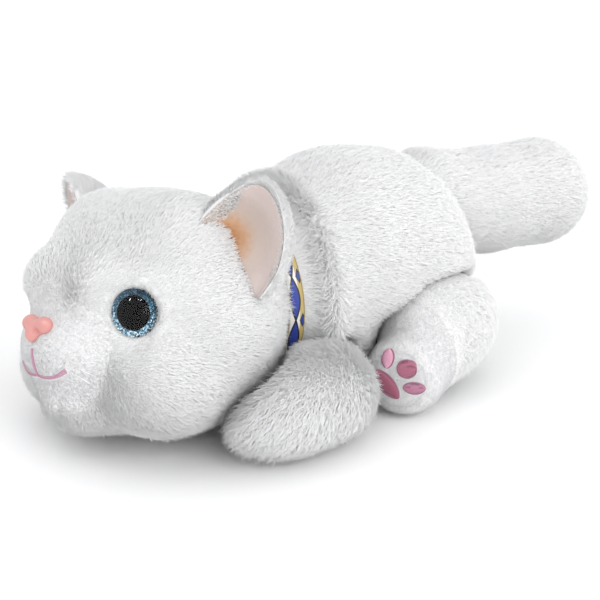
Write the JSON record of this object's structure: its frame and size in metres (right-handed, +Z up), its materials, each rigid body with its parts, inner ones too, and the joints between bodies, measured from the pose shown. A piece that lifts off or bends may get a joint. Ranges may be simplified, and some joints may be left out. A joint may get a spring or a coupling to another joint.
{
  "type": "plush cat",
  "caption": "Stuffed plush cat lying on its belly, with turning head, swinging legs, folding ears, wagging tail and ribbon collar.",
  "frame": {"origin": "middle of the bounding box footprint, on the surface the cat lies on", "axes": "+X from nose to tail, +Y to the cat's right, +Z up"},
  "size_m": [0.3715, 0.2032, 0.1493],
  "materials": {
    "clear_dome": "clear moulded acrylic",
    "black_plastic": "polished",
    "blue_glitter": "glitter flakes in lacquer",
    "washer_plastic": "as moulded",
    "nose_plastic": "satin",
    "mouth_thread": "satin stitch",
    "whisker_fibre": "drawn fibre",
    "ear_lining_plush": "short pile",
    "collar_ribbon": "printed satin ribbon",
    "toe_pad_thread": "satin stitch",
    "main_pad_thread": "satin stitch",
    "stuffing": "polyester fibre",
    "label_satin": "woven satin",
    "short_plush": "short smooth pile",
    "white_fur": "long pile"
  },
  "bodies": {
    "torso": {"torso_side_left": "white_fur", "torso_side_right": "white_fur", "belly_panel": "white_fur", "torso_stuffing": "stuffing", "care_label": "label_satin"},
    "neck": {"neck_stuffing": "stuffing"},
    "head": {"head_side_left": "white_fur", "head_side_right": "white_fur", "chin_panel": "white_fur", "muzzle_panel": "short_plush", "head_stuffing": "stuffing", "eye_dome_left": "clear_dome", "eye_dome_right": "clear_dome", "eye_pupil_left": "black_plastic", "eye_pupil_right": "black_plastic", "eye_glitter_left": "blue_glitter", "eye_glitter_right": "blue_glitter", "eye_back_left": "black_plastic", "eye_back_right": "black_plastic", "eye_washer_left": "washer_plastic", "eye_washer_right": "washer_plastic", "nose": "nose_plastic", "nose_washer": "washer_plastic", "mouth_stitching": "mouth_thread", "whiskers_left": "whisker_fibre", "whiskers_right": "whisker_fibre"},
    "collar": {"collar_ribbon": "collar_ribbon"},
    "tail": {"tail_cover": "white_fur", "tail_stuffing": "stuffing"},
    "ear_left": {"ear_back_left": "white_fur", "ear_lining_left": "ear_lining_plush"},
    "front_leg_left": {"front_leg_cover_left": "white_fur", "front_leg_stuffing_left": "stuffing"},
    "hind_leg_left": {"hind_leg_cover_left": "white_fur", "foot_sole_left": "short_plush", "hind_leg_stuffing_left": "stuffing", "toe_pads_left": "toe_pad_thread", "main_pad_left": "main_pad_thread"},
    "ear_right": {"ear_back_right": "white_fur", "ear_lining_right": "ear_lining_plush"},
    "front_leg_right": {"front_leg_cover_right": "white_fur", "front_leg_stuffing_right": "stuffing"},
    "hind_leg_right": {"hind_leg_cover_right": "white_fur", "foot_sole_right": "short_plush", "hind_leg_stuffing_right": "stuffing", "toe_pads_right": "toe_pad_thread", "main_pad_right": "main_pad_thread"}
  },
  "joints": [
    {"name": "neck_turn", "type": "hinge", "parent": "torso", "child": "neck", "pos_m": [-0.0326, 0, 0.064], "axis": [0, 0, 1], "range_deg": [-10, 10], "stiffness_Nm_per_rad": 2},
    {"name": "head_nod", "type": "hinge", "parent": "neck", "child": "head", "pos_m": [-0.0326, 0, 0.064], "axis": [0, 1, 0], "range_deg": [0, 12], "stiffness_Nm_per_rad": 2},
    {"name": "collar_slip", "type": "hinge", "parent": "head", "child": "collar", "pos_m": [-0.0326, 0, 0.064], "axis": [1, 0, 0], "continuous": true},
    {"name": "front_leg_spread_left", "type": "hinge", "parent": "torso", "child": "front_leg_left", "pos_m": [-0.0246, -0.046, 0.04], "axis": [0, 0, 1], "range_deg": [0, 20], "stiffness_Nm_per_rad": 0.5},
    {"name": "front_leg_spread_right", "type": "hinge", "parent": "torso", "child": "front_leg_right", "pos_m": [-0.0246, 0.046, 0.04], "axis": [0, 0, -1], "range_deg": [0, 20], "stiffness_Nm_per_rad": 0.5},
    {"name": "hind_leg_lift_left", "type": "hinge", "parent": "torso", "child": "hind_leg_left", "pos_m": [0.0434, -0.046, 0.036], "axis": [0, 1, 0], "range_deg": [0, 20], "stiffness_Nm_per_rad": 0.8},
    {"name": "hind_leg_lift_right", "type": "hinge", "parent": "torso", "child": "hind_leg_right", "pos_m": [0.0434, 0.046, 0.036], "axis": [0, 1, 0], "range_deg": [0, 20], "stiffness_Nm_per_rad": 0.8},
    {"name": "tail_wag", "type": "hinge", "parent": "torso", "child": "tail", "pos_m": [0.0654, 0, 0.088], "axis": [0, 0, 1], "range_deg": [-20, 20], "stiffness_Nm_per_rad": 0.5},
    {"name": "ear_fold_left", "type": "hinge", "parent": "head", "child": "ear_left", "pos_m": [-0.09644, -0.05054, 0.10668], "axis": [-0.0523, 0.6732, 0.7376], "range_deg": [-10, 20], "stiffness_Nm_per_rad": 0.05},
    {"name": "ear_fold_right", "type": "hinge", "parent": "head", "child": "ear_right", "pos_m": [-0.10248, 0.06472, 0.08214], "axis": [0.0004, 0.3171, -0.9484], "range_deg": [-10, 20], "stiffness_Nm_per_rad": 0.05}
  ]
}
